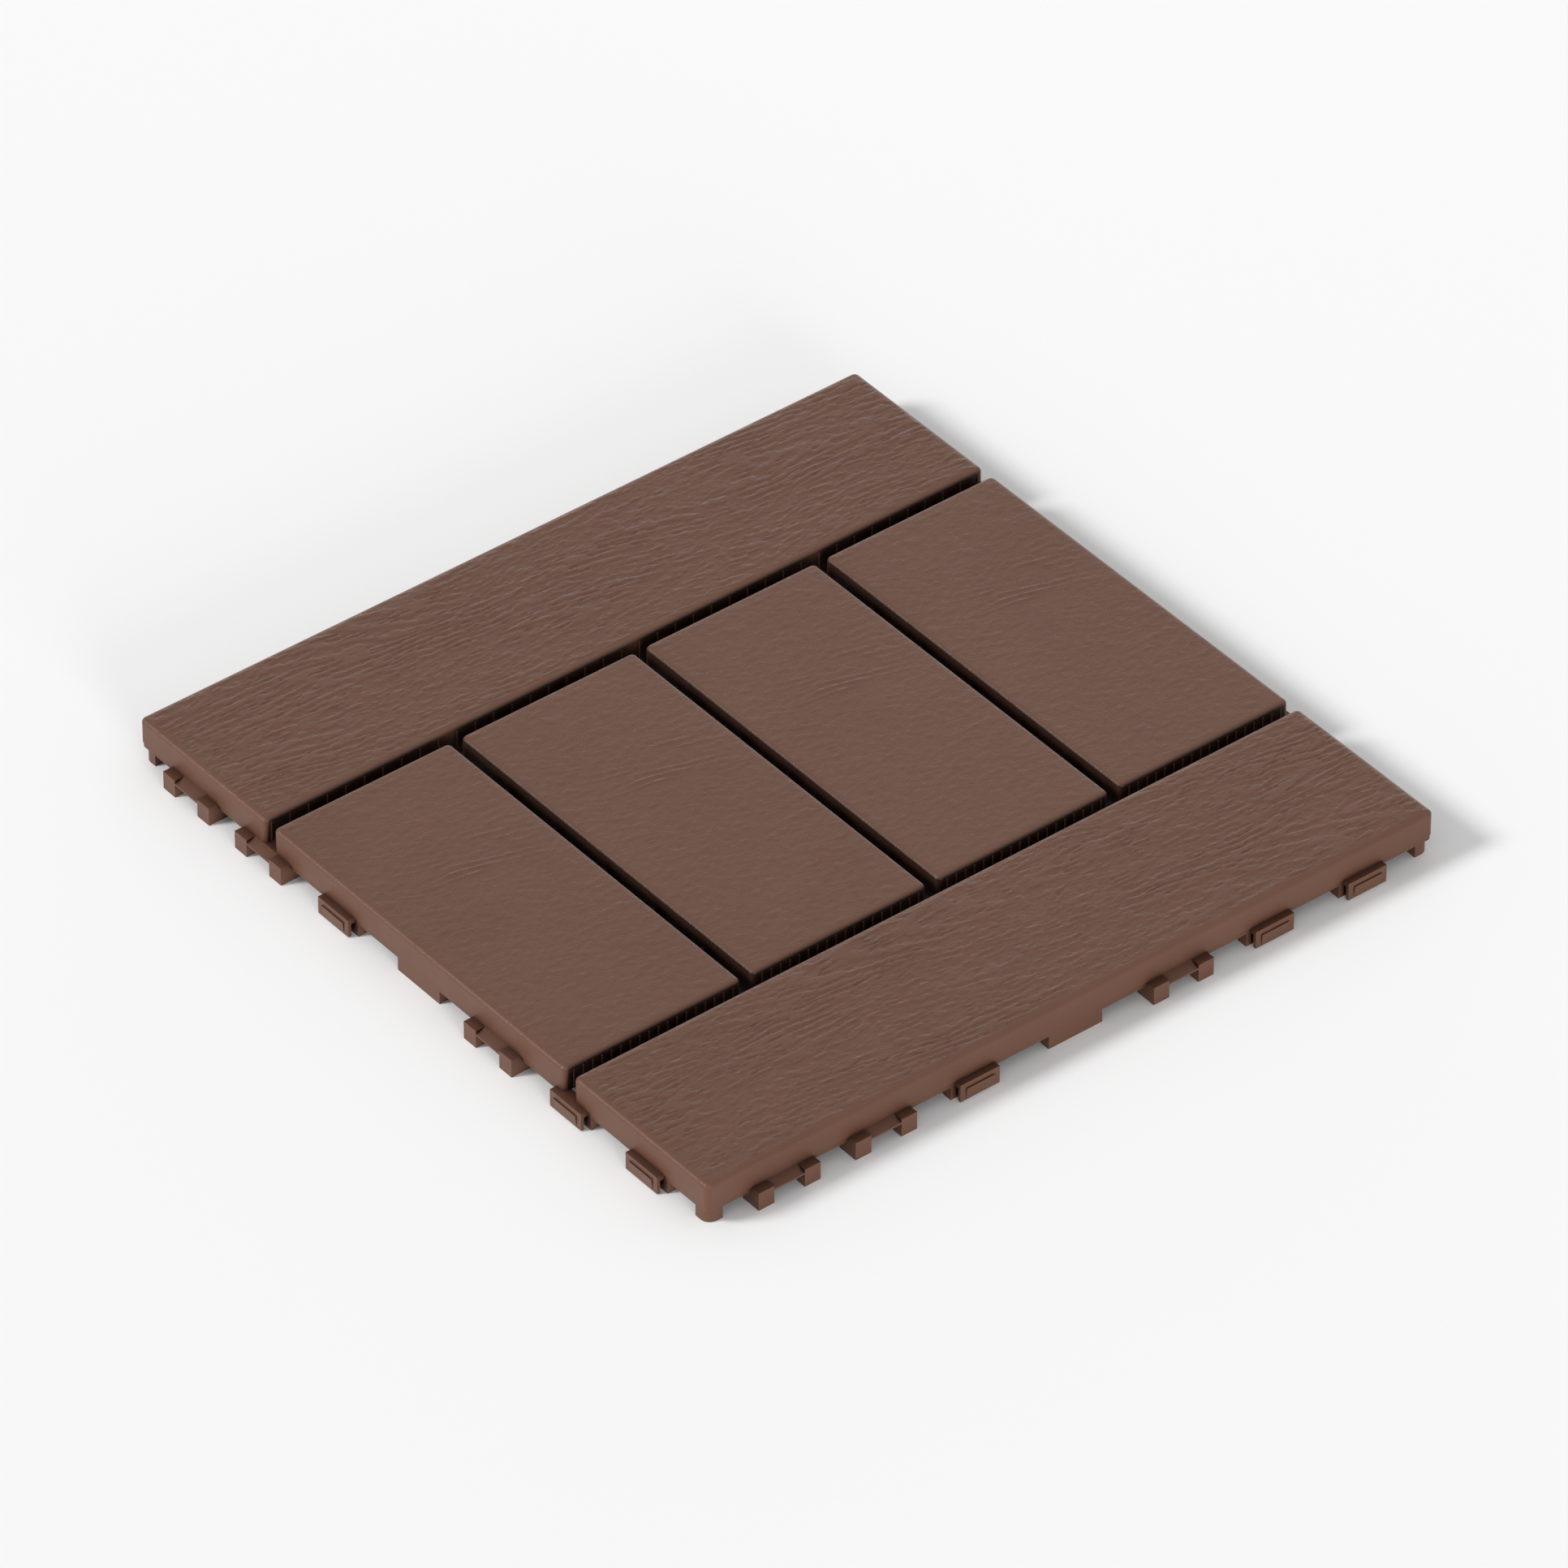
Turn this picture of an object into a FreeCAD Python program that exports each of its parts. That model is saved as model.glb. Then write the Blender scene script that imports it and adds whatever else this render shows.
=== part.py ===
import FreeCAD, Part
import math
import os
import re
import Sketcher

# Interlocking deck tile, injection moulded in one shot.
# Frame: origin on the ground under the middle of the tile, +Z up,
# +X along the two long border slats. Millimetres.

Vector = FreeCAD.Vector

# Driving sizes
driving_sizes = {
    # Outline
    "tile_side": 293.5,
    "tile_height": 16.5,
    "tile_joint": 6.5,
    # Slats, seen from above
    "border_slat_width": 67.0,
    "slat_gap": 4.4,
    "slat_corner_round": 2.0,
    "slat_edge_round": 1.5,
    # Heights of the slats, of the rim below them and of the open gap above the ties
    "slat_height": 9.6,
    "rim_height": 1.8,
    "tie_depth": 6.0,
    # Walls
    "deck_skin": 2.0,
    "slat_wall": 1.8,
    "rib_thickness": 1.5,
    # Rim under the slats
    "rim_inset": 0.3,
    "rim_thickness": 2.5,
    # Feet
    "foot_span": 8.0,
    "corner_foot_size": 6.0,
    "corner_foot_inset": 0.8,
    "corner_foot_round": 3.5,
    "middle_foot_width": 21.6,
    "edge_foot_depth": 4.0,
    # Connectors: the outermost one from the tile's corner, the innermost one from the side's middle
    "outer_joint": 29.5,
    "inner_joint": 40.75,
    # Socket: two posts with a sloping catch between them
    "socket_width": 12.0,
    "post_width": 6.2,
    "post_reach": 3.7,
    "catch_lip": 0.6,
    # Tongue: a springy plate that hangs from the rim, in front of two legs
    "tongue_width": 15.7,
    "tongue_thickness": 1.2,
    "tongue_ground_gap": 0.3,
    "leg_width": 4.0,
    "leg_spacing": 10.8,
    # Fit of a tongue in the next tile's socket
    "joint_clearance": 0.2,
    "toe_bite": 0.3,
    "toe_side_clearance": 0.4,
    "toe_tip": 0.4,
}

# How many of each repeated form
border_slat_ribs = 2
field_slats = 4
field_slat_ribs = 2
cross_ribs = 5
tile_sides = 4

# Sizes that follow from the driving sizes
worked_sizes = {
    "half_side": "tile_side / 2",
    "slat_foot": "tile_height - slat_height",
    "skirt_foot": "slat_foot - rim_height",
    "skin_underside": "tile_height - deck_skin",
    "border_slat_edge": "half_side - border_slat_width",
    "field_slat_end": "border_slat_edge - slat_gap",
    "field_slat_width": f"(tile_side - {field_slats - 1} * slat_gap) / {field_slats}",
    "field_slat_pitch": "field_slat_width + slat_gap",
    "field_rib_pitch": f"field_slat_width / {field_slat_ribs + 1}",
    "border_rib_pitch": f"border_slat_width / {border_slat_ribs + 1}",
    "cross_rib_pitch": f"2 * field_slat_end / {cross_ribs + 1}",
    "first_field_rib": "field_rib_pitch - half_side",
    "first_border_rib": "border_rib_pitch - half_side",
    "first_cross_rib": "cross_rib_pitch - field_slat_end",
    "rim_outside": "half_side - rim_inset",
    "rim_inside": "rim_outside - rim_thickness",
    "rim_middle": "rim_outside - rim_thickness / 2",
    "middle_joint": "(outer_joint + half_side - inner_joint) / 2",
    "tongue_reach": "tile_joint - post_reach - joint_clearance",
    "toe_reach": "tongue_reach + joint_clearance + toe_bite",
    "toe_top": "skirt_foot - joint_clearance",
    "toe_width": "socket_width - 2 * toe_side_clearance",
}

document = FreeCAD.newDocument("DeckTile")
sheet = document.addObject("Spreadsheet::Sheet", "sizes")
sheet_rows = [(name, str(size)) for name, size in driving_sizes.items()]
sheet_rows += [(name, f"={formula}") for name, formula in worked_sizes.items()]
for row, (name, content) in enumerate(sheet_rows, start=1):
    sheet.set(f"A{row}", name.replace("_", " "))
    sheet.setAlias(f"B{row}", name)
    sheet.set(f"B{row}", content)
document.recompute()
size_names = [name for name, content in sheet_rows]


def from_sheet(formula):
    """A formula of plain size names, written for an object outside the sheet."""
    def full_name(match):
        word = match.group()
        return f"sizes.{word}" if word in size_names else word
    return re.sub(r"[a-z_]+", full_name, formula)


def value(formula):
    return float(sheet.evalExpression(from_sheet(formula)))


def new_body(name):
    body = document.addObject("PartDesign::Body", name)
    body.AllowCompound = True
    return body


def from_origin(body, role):
    """One of the planes or axes of a body's own origin."""
    return [feature for feature in body.Origin.OriginFeatures if feature.Role == role][0]


def new_sketch(body, name, plane, distance):
    """A sketch at a distance from one of the body's origin planes."""
    sketch = body.newObject("Sketcher::SketchObject", name)
    sketch.AttachmentSupport = [(from_origin(body, plane), "")]
    sketch.MapMode = "FlatFace"
    sketch.setExpression("AttachmentOffset.Base.z", from_sheet(distance))
    return sketch


def draw_closed(sketch, corners):
    """Lines through corners given as pairs of formulas, joined end to end."""
    places = [Vector(value(across), value(along), 0) for across, along in corners]
    first = sketch.GeometryCount
    for index, place in enumerate(places):
        line = Part.LineSegment(place, places[(index + 1) % len(places)])
        sketch.addGeometry(line, False)
    for index in range(len(places)):
        next_line = first + (index + 1) % len(places)
        sketch.addConstraint(Sketcher.Constraint("Coincident", first + index, 2, next_line, 1))
    return first


def dimension(sketch, direction, line, end, formula):
    """Dimensions one end of a line from the sketch's origin."""
    constraint = Sketcher.Constraint(direction, -1, 1, line, end, value(formula))
    index = sketch.addConstraint(constraint)
    sketch.setExpression(f"Constraints[{index}]", from_sheet(formula))


def draw_rectangle(sketch, left, right, near, far):
    first = draw_closed(sketch, [(left, near), (right, near), (right, far), (left, far)])
    for line in (first, first + 2):
        sketch.addConstraint(Sketcher.Constraint("Horizontal", line))
        sketch.addConstraint(Sketcher.Constraint("Vertical", line + 1))
    dimension(sketch, "DistanceX", first, 1, left)
    dimension(sketch, "DistanceY", first, 1, near)
    dimension(sketch, "DistanceX", first + 2, 1, right)
    dimension(sketch, "DistanceY", first + 2, 1, far)


def draw_rounded_square(sketch, half_width, radius):
    """A square about the origin, its corners rounded to one radius."""
    reach = value(half_width)
    turn = value(radius)
    first = sketch.GeometryCount
    quarter_turn = math.pi / 2
    for corner in range(4):
        place = FreeCAD.Rotation(Vector(0, 0, 1), 90 * corner)
        start = place.multVec(Vector(turn - reach, -reach, 0))
        end = place.multVec(Vector(reach - turn, -reach, 0))
        middle = place.multVec(Vector(reach - turn, turn - reach, 0))
        sketch.addGeometry(Part.LineSegment(start, end), False)
        circle = Part.Circle(middle, Vector(0, 0, 1), turn)
        start_angle = (corner - 1) * quarter_turn
        sketch.addGeometry(Part.ArcOfCircle(circle, start_angle, start_angle + quarter_turn), False)
    for corner in range(4):
        side = first + 2 * corner
        next_side = first + 2 * ((corner + 1) % 4)
        sketch.addConstraint(Sketcher.Constraint("Tangent", side, 2, side + 1, 1))
        sketch.addConstraint(Sketcher.Constraint("Tangent", side + 1, 2, next_side, 1))
        if corner > 0:
            sketch.addConstraint(Sketcher.Constraint("Equal", first + 1, side + 1))
    dimension(sketch, "DistanceY", first, 1, f"-({half_width})")
    dimension(sketch, "DistanceY", first, 2, f"-({half_width})")
    dimension(sketch, "DistanceX", first + 2, 1, half_width)
    dimension(sketch, "DistanceX", first + 2, 2, half_width)
    dimension(sketch, "DistanceY", first + 4, 1, half_width)
    dimension(sketch, "DistanceX", first + 6, 1, f"-({half_width})")
    size = sketch.addConstraint(Sketcher.Constraint("Radius", first + 1, turn))
    sketch.setExpression(f"Constraints[{size}]", from_sheet(radius))


def draw_polygon(sketch, corners):
    first = draw_closed(sketch, corners)
    for index, (across, along) in enumerate(corners):
        dimension(sketch, "DistanceX", first + index, 1, across)
        dimension(sketch, "DistanceY", first + index, 1, along)


def pad(name, sketch, length):
    feature = sketch.getParent().newObject("PartDesign::Pad", name)
    feature.Profile = sketch
    feature.setExpression("Length", from_sheet(length))
    document.recompute()
    return feature


def pocket(name, sketch, depth, upwards):
    body = sketch.getParent()
    volume_before = body.Shape.Volume
    feature = body.newObject("PartDesign::Pocket", name)
    feature.Profile = sketch
    feature.Reversed = upwards
    feature.setExpression("Length", from_sheet(depth))
    document.recompute()
    if body.Shape.Volume > volume_before - 1.0:
        raise RuntimeError(f"{name} cut nothing")
    return feature


def fillet(name, base, edges, radius):
    feature = base.getParent().newObject("PartDesign::Fillet", name)
    feature.Base = (base, edges)
    feature.setExpression("Radius", from_sheet(radius))
    document.recompute()
    return feature


def row_along(body, axis, length, count):
    step = document.addObject("PartDesign::LinearPattern", f"{body.Name}_row")
    step.Direction = (from_origin(body, axis), [""])
    step.setExpression("Length", from_sheet(length))
    step.Occurrences = count
    return step


def front_to_back(body):
    step = document.addObject("PartDesign::Mirrored", f"{body.Name}_mirror")
    step.MirrorPlane = (from_origin(body, "XZ_Plane"), [""])
    return step


def repeat(name, feature, steps):
    """Repeats a feature through each step in turn."""
    body = feature.getParent()
    repeated = body.newObject("PartDesign::MultiTransform", name)
    repeated.Originals = [feature]
    repeated.Transformations = steps
    body.Tip = repeated
    document.recompute()
    return repeated


def edges_where(shape, is_wanted):
    return [f"Edge{index}" for index, edge in enumerate(shape.Edges, start=1) if is_wanted(edge)]


# Slats: two along the borders, four across the field between them
deck = new_body("deck")
slat_outlines = [
    ("-half_side", "half_side", "-half_side", "-border_slat_edge"),
    ("-half_side", "half_side", "border_slat_edge", "half_side"),
]
for slat in range(field_slats):
    left_edge = f"-half_side + {slat} * field_slat_pitch"
    right_edge = f"{left_edge} + field_slat_width"
    slat_outlines.append((left_edge, right_edge, "-field_slat_end", "field_slat_end"))

slat_plan = new_sketch(deck, "slat_plan", "XY_Plane", "slat_foot")
for outline in slat_outlines:
    draw_rectangle(slat_plan, *outline)
slats = pad("slats", slat_plan, "slat_height")

deck_level = value("tile_height")


def is_upright(edge):
    start = edge.Vertexes[0].Point
    end = edge.Vertexes[-1].Point
    return abs(start.x - end.x) < 0.001 and abs(start.y - end.y) < 0.001


def is_deck_edge(edge):
    return edge.BoundBox.ZMin > deck_level - 0.001


slat_corners = fillet("slat_corners", slats, edges_where(slats.Shape, is_upright), "slat_corner_round")
deck_edges = edges_where(slat_corners.Shape, is_deck_edge)
fillet("slat_edges", slat_corners, deck_edges, "slat_edge_round")

# Each slat is a tray, hollow from below
hollow_plan = new_sketch(deck, "hollow_plan", "XY_Plane", "slat_foot")
for left, right, near, far in slat_outlines:
    draw_rectangle(
        hollow_plan,
        f"{left} + slat_wall",
        f"{right} - slat_wall",
        f"{near} + slat_wall",
        f"{far} - slat_wall",
    )
pocket("slat_hollows", hollow_plan, "slat_height - deck_skin", upwards=True)

# Lattice of ribs under the slats, from the skirt's foot up to the deck skin
lattice = new_body("lattice")
half_rib = "rib_thickness / 2"


def draw_rib(name, left, right, near, far):
    plan = new_sketch(lattice, f"{name}_plan", "XY_Plane", "skirt_foot")
    draw_rectangle(plan, left, right, near, far)
    return pad(name, plan, "skin_underside - skirt_foot")


field_rib = draw_rib(
    "field_rib",
    f"first_field_rib - {half_rib}",
    f"first_field_rib + {half_rib}",
    "-rim_middle",
    "rim_middle",
)
repeat("field_ribs", field_rib, [
    row_along(lattice, "X_Axis", "field_rib_pitch", field_slat_ribs),
    row_along(lattice, "X_Axis", f"{field_slats - 1} * field_slat_pitch", field_slats),
])
border_rib = draw_rib(
    "border_rib",
    "-rim_middle",
    "rim_middle",
    f"first_border_rib - {half_rib}",
    f"first_border_rib + {half_rib}",
)
repeat("border_ribs", border_rib, [
    row_along(lattice, "Y_Axis", "border_rib_pitch", border_slat_ribs),
    front_to_back(lattice),
])
cross_rib = draw_rib(
    "cross_rib",
    "-rim_middle",
    "rim_middle",
    f"first_cross_rib - {half_rib}",
    f"first_cross_rib + {half_rib}",
)
repeat("cross_ribs", cross_rib, [
    row_along(lattice, "Y_Axis", f"{cross_ribs - 1} * cross_rib_pitch", cross_ribs),
])

# Drain gaps: the ribs that tie one slat to the next stay below the walking face
gap_plan = new_sketch(lattice, "gap_plan", "XY_Plane", "tile_height")
for near, far in (("-border_slat_edge", "-field_slat_end"), ("field_slat_end", "border_slat_edge")):
    draw_rectangle(gap_plan, "-half_side", "half_side", near, far)
for gap in range(1, field_slats):
    right_edge = f"-half_side + {gap} * field_slat_pitch"
    left_edge = f"{right_edge} - slat_gap"
    draw_rectangle(gap_plan, left_edge, right_edge, "slat_gap - field_slat_end", "field_slat_end - slat_gap")
pocket("drain_gaps", gap_plan, "tie_depth", upwards=False)

# Feet under the rib crossings, each a plus sign as thick as a rib
feet = new_body("feet")


def draw_foot(name, middle_x, middle_y):
    arm = "foot_span / 2"
    quarter = [(arm, f"-{half_rib}"), (arm, half_rib), (half_rib, half_rib), (half_rib, arm)]
    quarter += [(f"-{half_rib}", arm), (f"-{half_rib}", half_rib)]
    outline = quarter + [(f"-({across})", f"-({along})") for across, along in quarter]
    plan = new_sketch(feet, f"{name}_plan", "XY_Plane", "0 * foot_span")
    draw_polygon(plan, [(f"{middle_x} + {across}", f"{middle_y} + {along}") for across, along in outline])
    return pad(name, plan, "slat_foot")


field_foot = draw_foot("field_foot", "first_field_rib", "first_cross_rib")
repeat("field_feet", field_foot, [
    row_along(feet, "X_Axis", "field_rib_pitch", field_slat_ribs),
    row_along(feet, "X_Axis", f"{field_slats - 1} * field_slat_pitch", field_slats),
    row_along(feet, "Y_Axis", f"{cross_ribs - 1} * cross_rib_pitch", (cross_ribs + 1) // 2),
])
border_foot = draw_foot("border_foot", "first_field_rib", "first_border_rib + border_rib_pitch")
repeat("border_feet", border_foot, [
    row_along(feet, "X_Axis", "field_rib_pitch", field_slat_ribs),
    row_along(feet, "X_Axis", f"{field_slats - 1} * field_slat_pitch", field_slats),
    front_to_back(feet),
])

# Rim round the outside, a little inside the slats' faces
skirt = new_body("skirt")
rim_plan = new_sketch(skirt, "rim_plan", "XY_Plane", "skirt_foot")
draw_rounded_square(rim_plan, "rim_outside", "slat_corner_round - rim_inset")
draw_rectangle(rim_plan, "-rim_inside", "rim_inside", "-rim_inside", "rim_inside")
pad("rim", rim_plan, "slat_foot - skirt_foot")

# One side of the tile: sockets and tongues face each other about the side's middle,
# so that any side joins any side of the next tile
sockets = ["outer_joint", "middle_joint", "half_side + inner_joint"]
tongues = ["half_side - inner_joint", "tile_side - middle_joint", "tile_side - outer_joint"]
side_features = []

support_plan = new_sketch(skirt, "support_plan", "XY_Plane", "0 * slat_foot")
support_back = "edge_foot_depth - half_side"


def draw_pair(joint, spacing, width, front):
    """Two supports either side of a joint's middle, with a space between them."""
    middle = f"{joint} - half_side"
    near = f"{spacing} / 2"
    far = f"{spacing} / 2 + {width}"
    draw_rectangle(support_plan, f"{middle} - ({far})", f"{middle} - {near}", front, support_back)
    draw_rectangle(support_plan, f"{middle} + {near}", f"{middle} + {far}", front, support_back)


for joint in sockets:
    draw_pair(joint, "socket_width", "post_width", "-half_side - post_reach")
for joint in tongues:
    draw_pair(joint, "leg_spacing", "leg_width", "-rim_outside")
half_foot = "middle_foot_width / 2"
draw_rectangle(support_plan, f"-{half_foot}", half_foot, "-rim_outside", support_back)
side_features.append(pad("side_supports", support_plan, "slat_foot"))


def side_profile(name, middle, width, corners):
    """A form that runs along the side: its section, then its width."""
    start = f"{middle} - half_side - {width} / 2"
    section = new_sketch(skirt, f"{name}_section", "YZ_Plane", start)
    draw_polygon(section, corners)
    return pad(name, section, width)


catch_section = [
    ("-rim_middle", "skirt_foot"),
    ("-rim_middle", "slat_foot"),
    ("-half_side", "slat_foot"),
    ("-half_side - post_reach", "skirt_foot + catch_lip"),
    ("-half_side - post_reach", "skirt_foot"),
]
for number, joint in enumerate(sockets, start=1):
    side_features.append(side_profile(f"catch_{number}", joint, "socket_width", catch_section))

tongue_section = [
    ("-rim_middle", "skirt_foot"),
    ("-rim_middle", "slat_foot"),
    ("-half_side - tongue_reach", "slat_foot"),
    ("-half_side - tongue_reach", "tongue_ground_gap"),
    ("-half_side - tongue_reach + tongue_thickness", "tongue_ground_gap"),
    ("-half_side - tongue_reach + tongue_thickness", "skirt_foot"),
]
toe_section = [
    ("-half_side - tongue_reach + tongue_thickness / 2", "toe_top"),
    ("-half_side - toe_reach", "toe_top"),
    ("-half_side - toe_reach", "toe_top - toe_tip"),
    ("-half_side - tongue_reach", "tongue_ground_gap"),
    ("-half_side - tongue_reach + tongue_thickness / 2", "tongue_ground_gap"),
]
for number, joint in enumerate(tongues, start=1):
    side_features.append(side_profile(f"tongue_{number}", joint, "tongue_width", tongue_section))
    side_features.append(side_profile(f"toe_{number}", joint, "toe_width", toe_section))

# Corner foot: a square set in from both faces, its outer corner well rounded
corner_plan = new_sketch(skirt, "corner_plan", "XY_Plane", "0 * slat_foot")
outer_face = "corner_foot_inset - half_side"
inner_face = f"{outer_face} + corner_foot_size"
low = value(outer_face)
high = value(inner_face)
turn = value("corner_foot_round")
middle = low + turn
rounding = Part.Circle(Vector(middle, middle, 0), Vector(0, 0, 1), turn)
corner_plan.addGeometry([
    Part.LineSegment(Vector(middle, low, 0), Vector(high, low, 0)),
    Part.LineSegment(Vector(high, low, 0), Vector(high, high, 0)),
    Part.LineSegment(Vector(high, high, 0), Vector(low, high, 0)),
    Part.LineSegment(Vector(low, high, 0), Vector(low, middle, 0)),
    Part.ArcOfCircle(rounding, math.pi, 1.5 * math.pi),
], False)
for line in range(3):
    corner_plan.addConstraint(Sketcher.Constraint("Coincident", line, 2, line + 1, 1))
corner_plan.addConstraint(Sketcher.Constraint("Tangent", 3, 2, 4, 1))
corner_plan.addConstraint(Sketcher.Constraint("Tangent", 4, 2, 0, 1))
for line in (0, 2):
    corner_plan.addConstraint(Sketcher.Constraint("Horizontal", line))
    corner_plan.addConstraint(Sketcher.Constraint("Vertical", line + 1))
dimension(corner_plan, "DistanceX", 1, 2, inner_face)
dimension(corner_plan, "DistanceY", 1, 2, inner_face)
dimension(corner_plan, "DistanceX", 2, 2, outer_face)
dimension(corner_plan, "DistanceY", 0, 2, outer_face)
radius = corner_plan.addConstraint(Sketcher.Constraint("Radius", 4, turn))
corner_plan.setExpression(f"Constraints[{radius}]", from_sheet("corner_foot_round"))
side_features.append(pad("corner_foot", corner_plan, "slat_foot"))

# The same side four times round the tile
four_sides = skirt.newObject("PartDesign::PolarPattern", "four_sides")
four_sides.Originals = side_features
four_sides.Axis = (from_origin(skirt, "Z_Axis"), [""])
four_sides.Angle = 360
four_sides.Occurrences = tile_sides
skirt.Tip = four_sides
document.recompute()

# All of it is one moulding
tile = document.addObject("Part::MultiFuse", "deck_tile")
tile.Label = "deck_tile"
tile.Shapes = [deck, lattice, feet, skirt]
tile.Refine = True
document.recompute()

# Every object has to be sound before anything is written
for item in document.Objects:
    if "Invalid" in item.State or "Error" in item.State:
        raise RuntimeError(f"{item.Label} failed: {item.State}")
if tile.Shape.isNull() or not tile.Shape.isValid():
    raise RuntimeError("deck_tile has no valid shape")
if len(tile.Shape.Solids) != 1:
    raise RuntimeError(f"deck_tile is {len(tile.Shape.Solids)} solids, not one")

os.makedirs("parts", exist_ok=True)
tile.Shape.exportStep(os.path.join("parts", f"{tile.Label}.step"))
bounds = tile.Shape.BoundBox
print(f"{tile.Label}: {bounds.XLength:.2f} x {bounds.YLength:.2f} x {bounds.ZLength:.2f} mm")
print(f"volume {tile.Shape.Volume / 1000:.1f} cm3, {len(tile.Shape.Faces)} faces")
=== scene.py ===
import bpy
import bmesh
import math
import numpy as np
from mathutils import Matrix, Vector


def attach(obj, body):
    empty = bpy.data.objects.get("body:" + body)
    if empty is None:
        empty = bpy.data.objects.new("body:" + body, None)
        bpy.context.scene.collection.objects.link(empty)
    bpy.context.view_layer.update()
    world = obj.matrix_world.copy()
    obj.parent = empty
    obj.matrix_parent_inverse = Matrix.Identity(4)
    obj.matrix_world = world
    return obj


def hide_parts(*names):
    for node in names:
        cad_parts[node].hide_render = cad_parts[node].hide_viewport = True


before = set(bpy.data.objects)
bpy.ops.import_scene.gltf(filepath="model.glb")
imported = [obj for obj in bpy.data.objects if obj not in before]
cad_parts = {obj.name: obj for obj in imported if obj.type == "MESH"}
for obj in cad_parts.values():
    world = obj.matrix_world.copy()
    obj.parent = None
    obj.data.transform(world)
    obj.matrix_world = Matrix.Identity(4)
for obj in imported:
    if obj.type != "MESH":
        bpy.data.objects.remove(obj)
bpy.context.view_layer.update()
print("stage: frame loaded")

mm = 0.001
scene = bpy.context.scene
scene.view_settings.view_transform = "Standard"

# The tile's own sizes, in millimetres, as the solid has them
tile = {
    "side": 293.5,
    "top": 16.5,
    "slatFoot": 6.9,
    "edgeRound": 1.5,
    "cornerRound": 2.0,
    "borderWidth": 67.0,
    "gap": 4.4,
    "fieldSlats": 4,
    "grainHeight": 0.30,     # how far the embossed grain may stand up from a slat
}
tile["half"] = tile["side"] / 2
tile["capFoot"] = tile["top"] - tile["grainHeight"] - tile["edgeRound"]
tile["borderEdge"] = tile["half"] - tile["borderWidth"]
tile["fieldEnd"] = tile["borderEdge"] - tile["gap"]
tile["fieldWidth"] = (tile["side"] - (tile["fieldSlats"] - 1) * tile["gap"]) / tile["fieldSlats"]


# Brown moulded plastic

plastic = {
    "brown": (0.119, 0.0535, 0.0325),
    "brownLight": (0.129, 0.0595, 0.0370),
    "roughness": (0.36, 0.44),
    "specular": 0.25,
    "skinGrain": 0.7,       # millimetres from one grain to the next
    "slatSkinDepth": 0.16,  # millimetres
    "baseSkinDepth": 0.02,
    "cloudSize": 28.0,      # millimetres across a patch of paler colour
    "polishSize": 6.0,      # millimetres across a patch of other roughness
    "spread": (0.3, 0.7),   # the part of a noise that the two colours or roughnesses span
    "paintedShadeReach": 12.0,   # millimetres over which a neighbouring face darkens a crevice in the painted shade
    "paintedShadeSamples": 4,
    "gapShade": 0.17,       # how much less open the walls of a drain gap count, which darkens their painted shade
    # how open a place is, and what its colour is multiplied by as painted shade
    "basePaintedShade": ((0.45, (0.03, 0.02, 0.02)), (0.56, (0.47, 0.32, 0.31)), (0.80, (1.0, 1.0, 1.0))),
    "slatPaintedShade": ((0.62, (0.03, 0.02, 0.02)), (0.81, (0.36, 0.31, 0.30)), (0.92, (1.0, 1.0, 1.0))),
}


def newNode(tree, kind, place, **values):
    node = tree.nodes.new(kind)
    node.location = place
    for name, value in values.items():
        node.inputs[name].default_value = value
    return node


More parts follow.
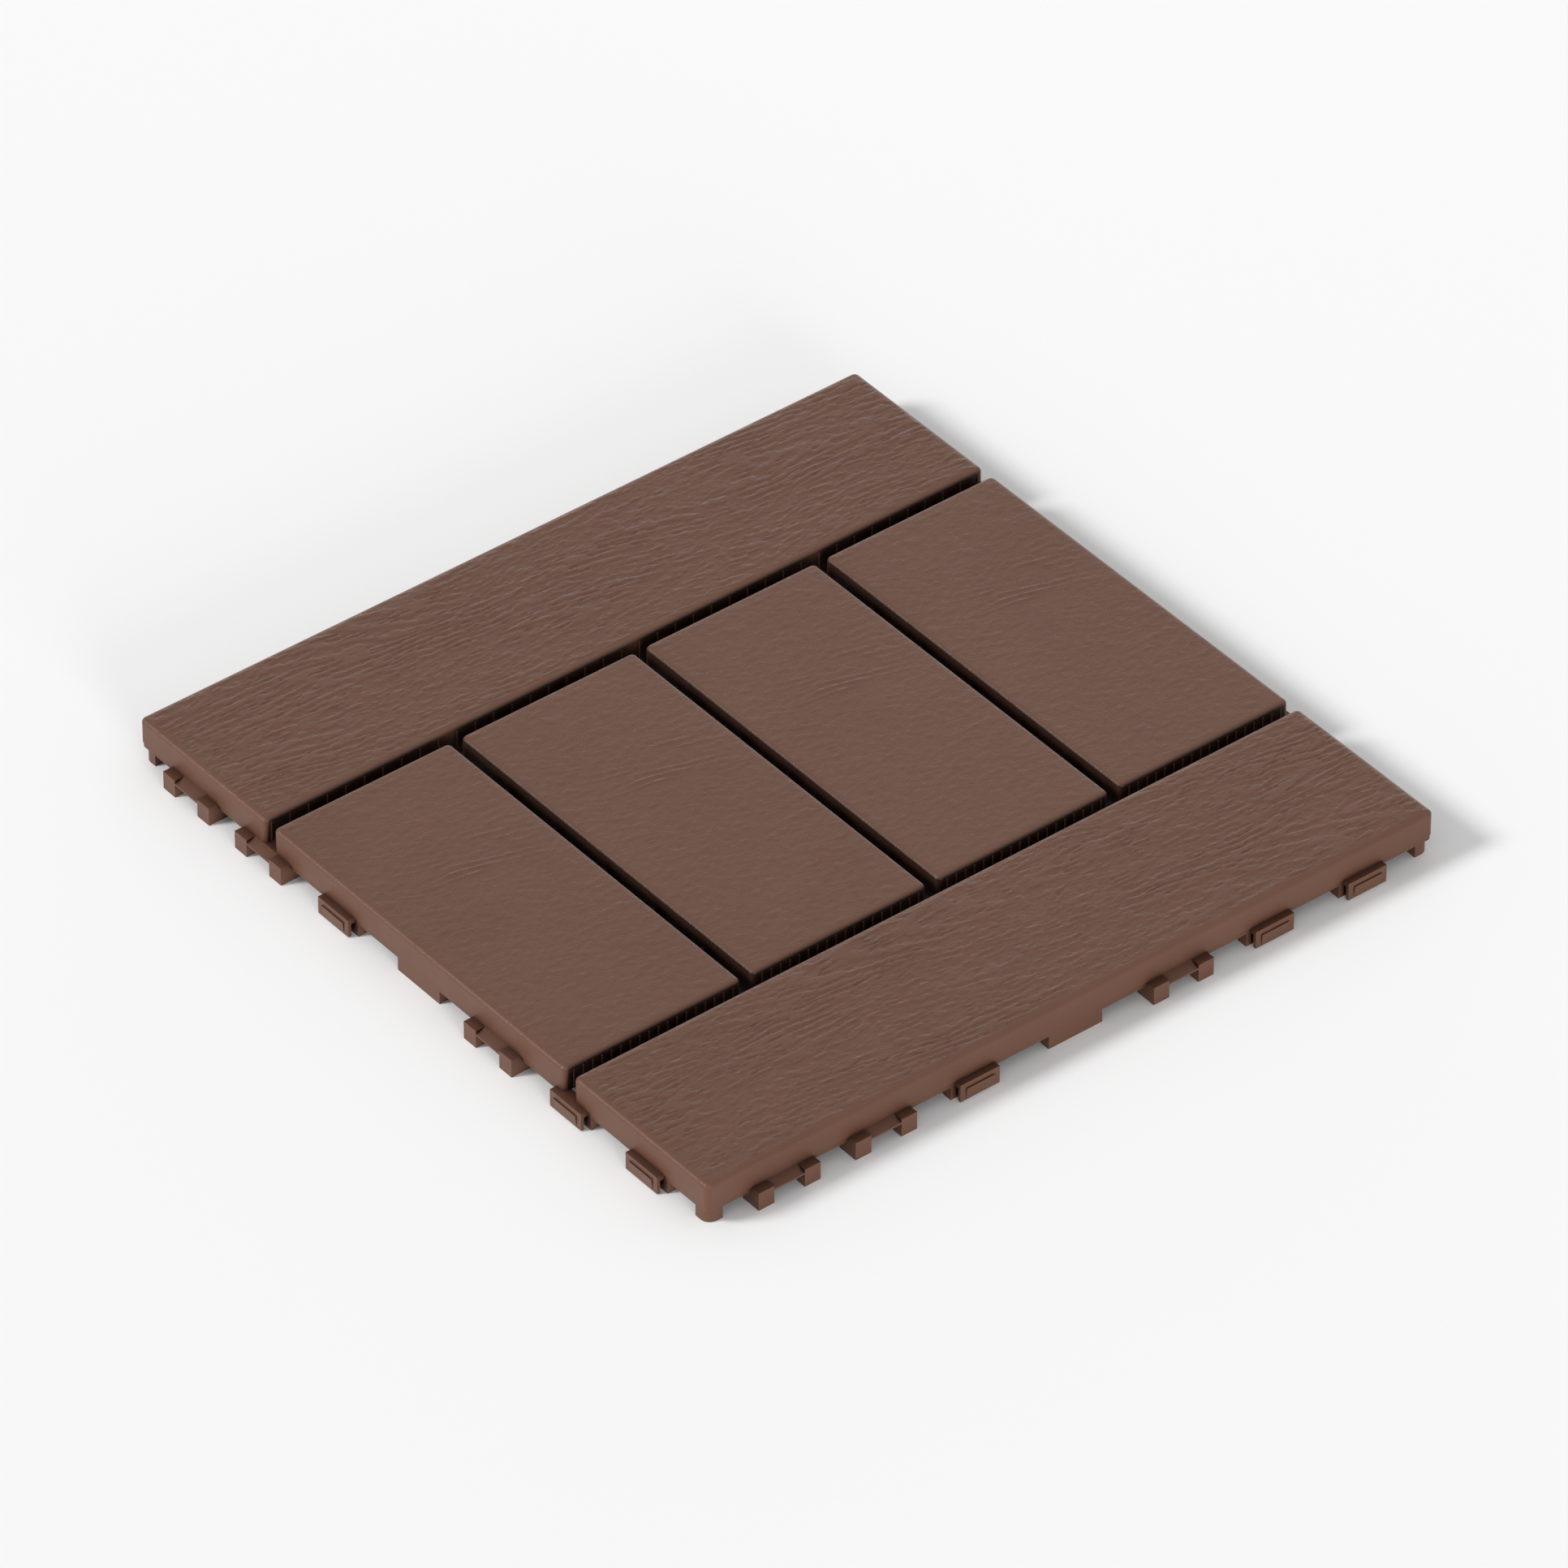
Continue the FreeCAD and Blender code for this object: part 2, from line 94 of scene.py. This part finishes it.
def mouldedPlastic(name, skinDepth, paintedShade, seesNeighbours):
    material = bpy.data.materials.new(name)
    material.use_nodes = True
    tree = material.node_tree
    link = tree.links.new
    shader = tree.nodes["Principled BSDF"]
    shader.inputs["Specular IOR Level"].default_value = plastic["specular"]
    place = newNode(tree, "ShaderNodeTexCoord", (-1100, 0))
    low, high = plastic["spread"]
    # faint clouds of colour, as pigment leaves them
    clouds = newNode(tree, "ShaderNodeTexNoise", (-800, 300), Scale=1 / (plastic["cloudSize"] * mm),
                     Detail=4.0, Roughness=0.6)
    shades = tree.nodes.new("ShaderNodeValToRGB")
    shades.location = (-500, 300)
    shades.color_ramp.elements[0].position = low
    shades.color_ramp.elements[0].color = plastic["brown"] + (1,)
    shades.color_ramp.elements[1].position = high
    shades.color_ramp.elements[1].color = plastic["brownLight"] + (1,)
    link(place.outputs["Object"], clouds.inputs["Vector"])
    link(clouds.outputs["Fac"], shades.inputs["Fac"])
    # painted shade: corners that little light reaches are darkened in the base colour
    reach = newNode(tree, "ShaderNodeAmbientOcclusion", (-500, 550),
                    Distance=plastic["paintedShadeReach"] * mm)
    reach.samples = plastic["paintedShadeSamples"]
    reach.only_local = not seesNeighbours
    tint = tree.nodes.new("ShaderNodeValToRGB")
    tint.location = (-300, 550)
    tint.color_ramp.elements.new(0.5)
    for stop, (position, colour) in zip(tint.color_ramp.elements, paintedShade):
        stop.position = position
        stop.color = colour + (1,)
    darken = tree.nodes.new("ShaderNodeMix")
    darken.data_type = "RGBA"
    darken.blend_type = "MULTIPLY"
    darken.location = (-100, 400)
    darken.inputs["Factor"].default_value = 1.0
    # painted shade: the walls of the drain gaps count as less open than they are, so their colour is
    # darker
    shade = newNode(tree, "ShaderNodeAttribute", (-700, 750))
    shade.attribute_name = "gapShade"
    openness = newNode(tree, "ShaderNodeMath", (-400, 750))
    openness.operation = "SUBTRACT"
    link(reach.outputs["AO"], openness.inputs[0])
    link(shade.outputs["Fac"], openness.inputs[1])
    link(openness.outputs[0], tint.inputs["Fac"])
    link(shades.outputs["Color"], darken.inputs["A"])
    link(tint.outputs["Color"], darken.inputs["B"])
    link(darken.outputs["Result"], shader.inputs["Base Color"])
    # roughness changes a little from patch to patch
    polish = newNode(tree, "ShaderNodeTexNoise", (-800, 0), Scale=1 / (plastic["polishSize"] * mm),
                     Detail=3.0)
    spread = newNode(tree, "ShaderNodeMapRange", (-500, 0))
    spread.inputs["From Min"].default_value = low
    spread.inputs["From Max"].default_value = high
    spread.inputs["To Min"].default_value = plastic["roughness"][0]
    spread.inputs["To Max"].default_value = plastic["roughness"][1]
    link(place.outputs["Object"], polish.inputs["Vector"])
    link(polish.outputs["Fac"], spread.inputs["Value"])
    link(spread.outputs["Result"], shader.inputs["Roughness"])
    # the mould's spark-eroded skin
    skin = newNode(tree, "ShaderNodeTexNoise", (-800, -300), Scale=1 / (plastic["skinGrain"] * mm),
                   Detail=2.0, Roughness=0.55)
    bump = newNode(tree, "ShaderNodeBump", (-400, -300), Strength=1.0, Distance=skinDepth * mm)
    link(place.outputs["Object"], skin.inputs["Vector"])
    link(skin.outputs["Fac"], bump.inputs["Height"])
    link(bump.outputs["Normal"], shader.inputs["Normal"])
    return material


slatPlastic = mouldedPlastic("slatPlastic", plastic["slatSkinDepth"], plastic["slatPaintedShade"],
                             seesNeighbours=True)
basePlastic = mouldedPlastic("basePlastic", plastic["baseSkinDepth"], plastic["basePaintedShade"],
                             seesNeighbours=False)
print("stage: materials")


# Base: the moulding below the rounded tops of the slats

base = {
    "mergeReach": 0.001,    # millimetres within which the solid's loose corners become one
    "gapSlack": 0.05,       # millimetres by which a face may miss the edge of a gap
}


def newPiece(name, mesh, material):
    piece = bpy.data.objects.new(name, mesh)
    scene.collection.objects.link(piece)
    mesh.materials.clear()
    mesh.materials.append(material)
    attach(piece, "root")
    return piece


def writeGapShade(mesh, values):
    # one value a face, which both materials take off its openness to deepen the painted shade
    shade = mesh.attributes.new("gapShade", "FLOAT", "FACE")
    shade.data.foreach_set("value", values)


def wallsOfGaps(mesh):
    # which faces lie between two slats
    centre = np.empty(3 * len(mesh.polygons))
    mesh.polygons.foreach_get("center", centre)
    x, y, z = centre.reshape(-1, 3).T / mm
    slack = base["gapSlack"]
    inGap = (np.abs(y) > tile["fieldEnd"] - slack) & (np.abs(y) < tile["borderEdge"] + slack)
    for number in range(1, tile["fieldSlats"]):
        middle = number * (tile["fieldWidth"] + tile["gap"]) - tile["gap"] / 2 - tile["half"]
        inGap |= (np.abs(x - middle) < tile["gap"] / 2 + slack) & (np.abs(y) < tile["fieldEnd"])
    return inGap & (z > tile["slatFoot"] + slack)


def makeBase():
    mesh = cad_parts["deck_tile"].data.copy()
    mesh.name = "tileBase"
    work = bmesh.new()
    work.from_mesh(mesh)
    bmesh.ops.remove_doubles(work, verts=work.verts, dist=base["mergeReach"] * mm)
    for vertex in work.verts:
        vertex.co.z = min(vertex.co.z, tile["capFoot"] * mm)
    work.to_mesh(mesh)
    work.free()
    mesh.shade_flat()
    # painted shade on the walls of the drain gaps
    writeGapShade(mesh, plastic["gapShade"] * wallsOfGaps(mesh))
    return newPiece("tileBase", mesh, basePlastic)


tileBase = makeBase()
print("stage: base")


# Embossed wood grain, raised from the slats, in millimetres

grain = {
    "latticeSize": 256,       # random heights each way before a noise repeats
    "plainEdge": (0.9, 2.6),  # the grain rises between these distances from a slat's outline
    "ringSharpness": 3,
}

# A noise has its height, then the size of its cells along the slat and across it
borderWood = {
    "wander": (2.6, 52, 26),
    "fineWander": (0.9, 13, 7),
    "slope": 0.12,            # how far the grain runs off the slat's length
    "hearts": ((104.0, -9.0), (236.0, 12.0)),  # place along the slat, and off its middle line
    "heartCore": 5,
    "heartRise": 0.10,
    "ringSpacing": 2.3,
    "ringHeight": 0.23,
    "ringRest": 0.15,         # the share of the height that is left between the patches
    "patch": (34, 9),
    "patchFade": (-0.3, 0.5),
    "dash": (0.27, 4.5, 0.95),
    "dashFade": (0.1, 0.45),
    "dashRest": 0.45,
    "pebble": (0.20, 1.5, 0.9),
    "endLinePlace": 5.5,
    "endLineWidth": 0.5,
    "endLineHeight": 0.06,
}
fieldWood = {
    "wander": (1.8, 16, 16),
    "slope": 0.3,
    "flamePlace": (96, 6),
    "flameSize": (16, 20),
    "ringSpacing": 3.0,
    "ringHeight": 0.22,
    "patch": (11, 3.5),       # across the slat, then along it, and the dashes too
    "patchFade": (0.0, 0.4),
    "dash": (0.05, 4.0, 1.1),
    "dashFade": (0.1, 0.6),
    "pebble": (0.15, 1.7, 1.9),
}


def eased(share):
    return share * share * (3 - 2 * share)


def smoothStep(low, high, value):
    return eased(np.clip((value - low) / (high - low), 0, 1))


def valueNoise(x, y, cellX, cellY, seed):
    size = grain["latticeSize"]
    lattice = np.random.default_rng(seed).uniform(-1, 1, (size, size))
    column = np.floor(x / cellX).astype(int)
    row = np.floor(y / cellY).astype(int)
    across = eased(x / cellX - column)
    along = eased(y / cellY - row)
    left, right = column % size, (column + 1) % size
    near, far = row % size, (row + 1) % size
    nearValue = lattice[left, near] * (1 - across) + lattice[right, near] * across
    farValue = lattice[left, far] * (1 - across) + lattice[right, far] * across
    return nearValue * (1 - along) + farValue * along


def noiseOf(values, x, y, seed):
    height, cellX, cellY = values
    return height * valueNoise(x, y, cellX, cellY, seed)


def ringsOf(distance, spacing):
    return (0.5 + 0.5 * np.cos(2 * math.pi * distance / spacing)) ** grain["ringSharpness"]


def borderGrain(along, across, seed):
    # lines that curve round two hearts, as on a flat-sawn board, and short dashes that follow them
    wood = borderWood
    wander = noiseOf(wood["wander"], along, across, seed)
    wander = wander + noiseOf(wood["fineWander"], along, across, seed + 1)
    drift = across + wood["slope"] * along + wander
    farAway = 1000.0
    depth = np.full_like(along, farAway)
    for place, offset in wood["hearts"]:
        core = wood["heartCore"] + wood["heartRise"] * np.abs(along - place)
        depth = np.minimum(depth, np.hypot(drift - offset - wood["slope"] * place, core))
    shown = smoothStep(*wood["patchFade"], valueNoise(along, across, *wood["patch"], seed + 2))
    dashHeight, *dashCell = wood["dash"]
    dash = smoothStep(*wood["dashFade"], valueNoise(along, farAway + drift, *dashCell, seed + 3))
    pebbleHeight, *pebbleCell = wood["pebble"]
    pebble = 0.5 + 0.5 * valueNoise(along, farAway + drift, *pebbleCell, seed + 4)
    endLine = np.exp(-((along - wood["endLinePlace"]) / wood["endLineWidth"]) ** 2)
    ringShare = wood["ringRest"] + (1 - wood["ringRest"]) * shown
    dashShare = wood["dashRest"] + (1 - wood["dashRest"]) * shown
    heights = wood["ringHeight"] * ringShare * ringsOf(depth, wood["ringSpacing"])
    heights = heights + dashHeight * dash * dashShare
    heights = heights + pebbleHeight * pebble
    return heights + wood["endLineHeight"] * endLine


def fieldGrain(along, across, seed):
    # fine mottling with faint dashes across the slat, and one small flame near the middle
    wood = fieldWood
    middle, offset = wood["flamePlace"]
    length, width = wood["flameSize"]
    flame = np.exp(-((along - middle) / length) ** 2 - ((across - offset) / width) ** 2)
    slant = along + wood["slope"] * across + noiseOf(wood["wander"], along, across, seed)
    shown = smoothStep(*wood["patchFade"], valueNoise(across, slant, *wood["patch"], seed + 2))
    dashHeight, *dashCell = wood["dash"]
    dash = smoothStep(*wood["dashFade"], valueNoise(across, slant, *dashCell, seed + 3))
    pebbleHeight, *pebbleCell = wood["pebble"]
    pebble = 0.5 + 0.5 * valueNoise(along, across, *pebbleCell, seed + 4)
    heights = wood["ringHeight"] * flame * shown * ringsOf(slant, wood["ringSpacing"])
    return heights + dashHeight * dash + pebbleHeight * pebble


# Slat caps: the rounded, embossed top of each slat

slatCap = {
    # millimetres from one point to the next, along X and along Y
    "borderGrid": (0.60, 0.38),
    "fieldGrid": (0.60, 0.42),
    "roundSteps": 6,
    "borderSeeds": (11, 47),
    "fieldSeed": 5,         # the four short slats have the same grain
}


def gridLines(length, step):
    roundSize = tile["edgeRound"]
    turn = np.linspace(0, math.pi / 2, slatCap["roundSteps"] + 1)
    edge = roundSize * (1 - np.cos(turn))
    edge = np.append(edge, tile["cornerRound"])
    count = int(round((length - 2 * tile["cornerRound"]) / step))
    inner = np.linspace(tile["cornerRound"], length - tile["cornerRound"], count + 1)
    return np.concatenate([edge[:-1], inner, (length - edge[:-1])[::-1]])


def roundedOutline(x, y, lengthX, lengthY):
    # bends the grid's square corners round, and gives each point's distance from the outline
    size = tile["cornerRound"]
    fromX = np.clip(size - np.minimum(x, lengthX - x), 0, None) / size
    fromY = np.clip(size - np.minimum(y, lengthY - y), 0, None) / size
    radius = np.maximum(fromX, fromY)
    low = np.minimum(fromX, fromY)
    turn = np.where(radius > 0, low / np.where(radius > 0, radius, 1), 0) * math.pi / 4
    reach = np.cos(turn) * radius
    rest = np.sin(turn) * radius
    bothIn = (fromX > 0) & (fromY > 0)
    newX = np.where(bothIn, np.where(fromX >= fromY, reach, rest), fromX)
    newY = np.where(bothIn, np.where(fromX >= fromY, rest, reach), fromY)
    sideX = np.where(x < lengthX / 2, 1, -1)
    sideY = np.where(y < lengthY / 2, 1, -1)
    bentX = np.where(fromX > 0, np.where(sideX > 0, 0, lengthX) + sideX * size * (1 - newX), x)
    bentY = np.where(fromY > 0, np.where(sideY > 0, 0, lengthY) + sideY * size * (1 - newY), y)
    inside = np.minimum(np.minimum(x, lengthX - x), np.minimum(y, lengthY - y))
    return bentX, bentY, inside


def makeSlatCap(name, left, right, near, far, steps, grainAt):
    lengthX = right - left
    lengthY = far - near
    x, y = np.meshgrid(gridLines(lengthX, steps[0]), gridLines(lengthY, steps[1]), indexing="ij")
    columns, rows = x.shape
    x, y, inside = roundedOutline(x, y, lengthX, lengthY)
    roundSize = tile["edgeRound"]
    intoRound = np.clip(roundSize - inside, 0, roundSize)
    height = tile["capFoot"] + np.sqrt(roundSize ** 2 - intoRound ** 2)
    raised = np.minimum(grainAt(x, y), tile["grainHeight"])
    height = height + raised * smoothStep(*grain["plainEdge"], inside)
    top = np.stack([x + left, y + near, height], axis=-1).reshape(-1, 3)
    index = np.arange(columns * rows).reshape(columns, rows)
    quads = np.stack([index[:-1, :-1], index[1:, :-1], index[1:, 1:], index[:-1, 1:]], axis=-1)
    quads = quads.reshape(-1, 4)
    outline = np.concatenate([index[:-1, 0], index[-1, :-1], index[:0:-1, -1], index[0, :0:-1]])
    faces = quads.tolist() + [outline[::-1].tolist()]
    mesh = bpy.data.meshes.new(name)
    mesh.from_pydata((top * mm).tolist(), [], faces)
    mesh.validate()
    flatFaces = len(mesh.polygons) - len(quads)
    mesh.polygons.foreach_set("use_smooth", [True] * len(quads) + [False] * flatFaces)
    mesh.update()
    # the cap's flat foot meets its sides in a sharp edge
    work = bmesh.new()
    work.from_mesh(mesh)
    for edge in work.edges:
        if len(edge.link_faces) == 2 and max(len(face.verts) for face in edge.link_faces) > 4:
            edge.smooth = False
    work.to_mesh(mesh)
    work.free()
    newPiece(name, mesh, slatPlastic)


def makeSlats():
    half = tile["half"]
    frontSeed, backSeed = slatCap["borderSeeds"]
    borders = (("frontBorderSlat", -half, -tile["borderEdge"], frontSeed),
               ("backBorderSlat", tile["borderEdge"], half, backSeed))
    for name, near, far, seed in borders:
        makeSlatCap(name, -half, half, near, far, slatCap["borderGrid"],
                    lambda x, y: borderGrain(x, y - tile["borderWidth"] / 2, seed))
    for number in range(tile["fieldSlats"]):
        left = -half + number * (tile["fieldWidth"] + tile["gap"])
        makeSlatCap(f"fieldSlat{number + 1}", left, left + tile["fieldWidth"],
                    -tile["fieldEnd"], tile["fieldEnd"], slatCap["fieldGrid"],
                    lambda x, y: fieldGrain(y, x - tile["fieldWidth"] / 2, slatCap["fieldSeed"]))


makeSlats()
print("stage: slats")


# Fine upright ribs on the walls of the two long drain gaps

gapRib = {
    # millimetres
    "width": 0.5,
    "reach": 0.25,          # how far a rib stands out from its wall
    "top": 14.6,
    "foot": 7.2,
    "fieldPitch": 3.7,
    "borderPitch": 7.4,
    "gapShade": 0.20,       # how much less open the ribs count in the material, which darkens their painted shade
}


def addInput(tree, name, kind):
    tree.interface.new_socket(name=name, in_out="INPUT", socket_type=kind)


def ribTree():
    # a row of bars along X, ended by Realize Instances and Set Material
    tree = bpy.data.node_groups.new("ribRow", "GeometryNodeTree")
    addInput(tree, "Start", "NodeSocketVector")
    addInput(tree, "Pitch", "NodeSocketFloat")
    addInput(tree, "Count", "NodeSocketInt")
    addInput(tree, "Bar", "NodeSocketVector")
    addInput(tree, "Material", "NodeSocketMaterial")
    tree.interface.new_socket(name="Geometry", in_out="OUTPUT", socket_type="NodeSocketGeometry")
    link = tree.links.new
    given = tree.nodes.new("NodeGroupInput")
    step = tree.nodes.new("ShaderNodeCombineXYZ")
    row = tree.nodes.new("GeometryNodeMeshLine")
    row.mode = "OFFSET"
    bar = tree.nodes.new("GeometryNodeMeshCube")
    place = tree.nodes.new("GeometryNodeInstanceOnPoints")
    real = tree.nodes.new("GeometryNodeRealizeInstances")
    finish = tree.nodes.new("GeometryNodeSetMaterial")
    result = tree.nodes.new("NodeGroupOutput")
    link(given.outputs["Pitch"], step.inputs["X"])
    link(given.outputs["Count"], row.inputs["Count"])
    link(given.outputs["Start"], row.inputs["Start Location"])
    link(step.outputs["Vector"], row.inputs["Offset"])
    link(given.outputs["Bar"], bar.inputs["Size"])
    link(row.outputs["Mesh"], place.inputs["Points"])
    link(bar.outputs["Mesh"], place.inputs["Instance"])
    link(place.outputs["Instances"], real.inputs["Geometry"])
    link(real.outputs["Geometry"], finish.inputs["Geometry"])
    link(given.outputs["Material"], finish.inputs["Material"])
    link(finish.outputs["Geometry"], result.inputs["Geometry"])
    return tree


def evaluated(tree, values):
    # runs the tree once and returns its result as a plain mesh
    holder = bpy.data.objects.new("ribHolder", bpy.data.meshes.new("ribHolder"))
    scene.collection.objects.link(holder)
    modifier = holder.modifiers.new("ribRow", "NODES")
    modifier.node_group = tree
    for item in tree.interface.items_tree:
        if item.in_out == "INPUT" and item.name in values:
            modifier[item.identifier] = values[item.name]
    graph = bpy.context.evaluated_depsgraph_get()
    mesh = bpy.data.meshes.new_from_object(holder.evaluated_get(graph))
    holder.modifiers.clear()
    bpy.data.objects.remove(holder)
    return mesh


def ribRow(tree, middleX, wallY, pitch, length):
    count = int((length - 2 * tile["cornerRound"] - gapRib["width"]) / pitch) + 1
    startX = middleX - (count - 1) * pitch / 2
    height = gapRib["top"] - gapRib["foot"]
    start = (startX * mm, wallY * mm, (gapRib["foot"] + height / 2) * mm)
    bar = (gapRib["width"] * mm, 2 * gapRib["reach"] * mm, height * mm)
    values = {"Start": start, "Pitch": pitch * mm, "Count": count, "Bar": bar, "Material": basePlastic}
    return evaluated(tree, values)


def makeGapRibs():
    tree = ribTree()
    work = bmesh.new()
    for side in (-1, 1):
        rows = [ribRow(tree, 0, side * tile["borderEdge"], gapRib["borderPitch"], tile["side"])]
        for number in range(tile["fieldSlats"]):
            middle = -tile["half"] + tile["fieldWidth"] / 2 + number * (tile["fieldWidth"] + tile["gap"])
            wall = side * tile["fieldEnd"]
            rows.append(ribRow(tree, middle, wall, gapRib["fieldPitch"], tile["fieldWidth"]))
        for row in rows:
            work.from_mesh(row)
    mesh = bpy.data.meshes.new("gapRibs")
    work.to_mesh(mesh)
    work.free()
    # painted shade that darkens the ribs in the gaps
    writeGapShade(mesh, np.full(len(mesh.polygons), gapRib["gapShade"]))
    newPiece("gapRibs", mesh, basePlastic)


makeGapRibs()
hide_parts("deck_tile")
print("stage: gap ribs")


# Floor, light and camera

studio = {
    "floorColour": (0.935, 0.935, 0.935),
    "floorRoughness": 0.9,
    "floorHalf": 6.0,       # metres
    "backdrop": 0.939,
    "skyStrength": 0.525,
    "lampDistance": 3,      # metres
    "lamps": (
        # name, direction it comes from, strength, softness in degrees
        ("keyLight", (-0.74, 0.36, 0.57), 2.15, 16.0),
        ("fillLight", (-0.25, -0.95, 0.14), 1.8, 22.0),
    ),
    # a low, wide softbox behind the tile: place and size in metres, watts
    "backStrip": ((1.75, 1.85, 0.22), (2.4, 0.30), 11.0),
    "cameraPlace": (-2.062, -2.596, 2.707),
    "cameraAim": (0.0, 0.0, 0.008),
    "widthShown": 0.50,     # metres across the picture at the tile
    "sensor": 36,           # millimetres
    "clip": (0.1, 50),      # metres
}


def makeStudio():
    floor = bpy.data.meshes.new("floor")
    size = studio["floorHalf"]
    corners = [(-size, -size, 0), (size, -size, 0), (size, size, 0), (-size, size, 0)]
    floor.from_pydata(corners, [], [(0, 1, 2, 3)])
    floorObject = bpy.data.objects.new("floor", floor)
    scene.collection.objects.link(floorObject)
    paint = bpy.data.materials.new("floorPaint")
    paint.use_nodes = True
    shader = paint.node_tree.nodes["Principled BSDF"]
    shader.inputs["Base Color"].default_value = studio["floorColour"] + (1,)
    shader.inputs["Roughness"].default_value = studio["floorRoughness"]
    shader.inputs["Specular IOR Level"].default_value = 0.0
    floor.materials.append(paint)
    for name, direction, strength, softness in studio["lamps"]:
        lamp = bpy.data.lights.new(name, "SUN")
        lamp.energy = strength
        lamp.angle = math.radians(softness)
        lampObject = bpy.data.objects.new(name, lamp)
        lampObject.location = studio["lampDistance"] * Vector(direction)
        lampObject.rotation_euler = (-Vector(direction)).to_track_quat("-Z", "Y").to_euler()
        scene.collection.objects.link(lampObject)
    place, size, watts = studio["backStrip"]
    strip = bpy.data.lights.new("backStrip", "AREA")
    strip.shape = "RECTANGLE"
    strip.size, strip.size_y = size
    strip.energy = watts
    stripObject = bpy.data.objects.new("backStrip", strip)
    stripObject.location = place
    stripObject.rotation_euler = (-Vector(place)).to_track_quat("-Z", "Y").to_euler()
    scene.collection.objects.link(stripObject)


def makeSky():
    world = bpy.data.worlds.new("studioSky")
    world.use_nodes = True
    scene.world = world
    tree = world.node_tree
    tree.nodes.clear()
    white = (1, 1, 1, 1)
    light = newNode(tree, "ShaderNodeBackground", (0, 100), Color=white, Strength=studio["skyStrength"])
    # the camera, gloss and glass see the plain backdrop in place of the sky that lights the tile
    seen = newNode(tree, "ShaderNodeBackground", (0, -100), Color=white, Strength=studio["backdrop"])
    path = tree.nodes.new("ShaderNodeLightPath")
    either = tree.nodes.new("ShaderNodeMath")
    either.operation = "MAXIMUM"
    both = tree.nodes.new("ShaderNodeMath")
    both.operation = "MAXIMUM"
    mix = tree.nodes.new("ShaderNodeMixShader")
    out = tree.nodes.new("ShaderNodeOutputWorld")
    link = tree.links.new
    link(path.outputs["Is Camera Ray"], either.inputs[0])
    link(path.outputs["Is Glossy Ray"], either.inputs[1])
    link(either.outputs[0], both.inputs[0])
    link(path.outputs["Is Transmission Ray"], both.inputs[1])
    link(both.outputs[0], mix.inputs["Fac"])
    link(light.outputs["Background"], mix.inputs[1])
    link(seen.outputs["Background"], mix.inputs[2])
    link(mix.outputs["Shader"], out.inputs["Surface"])


def makeCamera():
    camera = bpy.data.cameras.new("camera")
    place = Vector(studio["cameraPlace"])
    aim = Vector(studio["cameraAim"])
    distance = (aim - place).length
    camera.sensor_width = studio["sensor"]
    camera.lens = studio["sensor"] * distance / studio["widthShown"]
    camera.clip_start, camera.clip_end = studio["clip"]
    cameraObject = bpy.data.objects.new("camera", camera)
    cameraObject.location = place
    cameraObject.rotation_euler = (aim - place).to_track_quat("-Z", "Y").to_euler()
    scene.collection.objects.link(cameraObject)
    scene.camera = cameraObject


makeStudio()
makeSky()
makeCamera()
print("stage: studio")

bpy.context.view_layer.update()
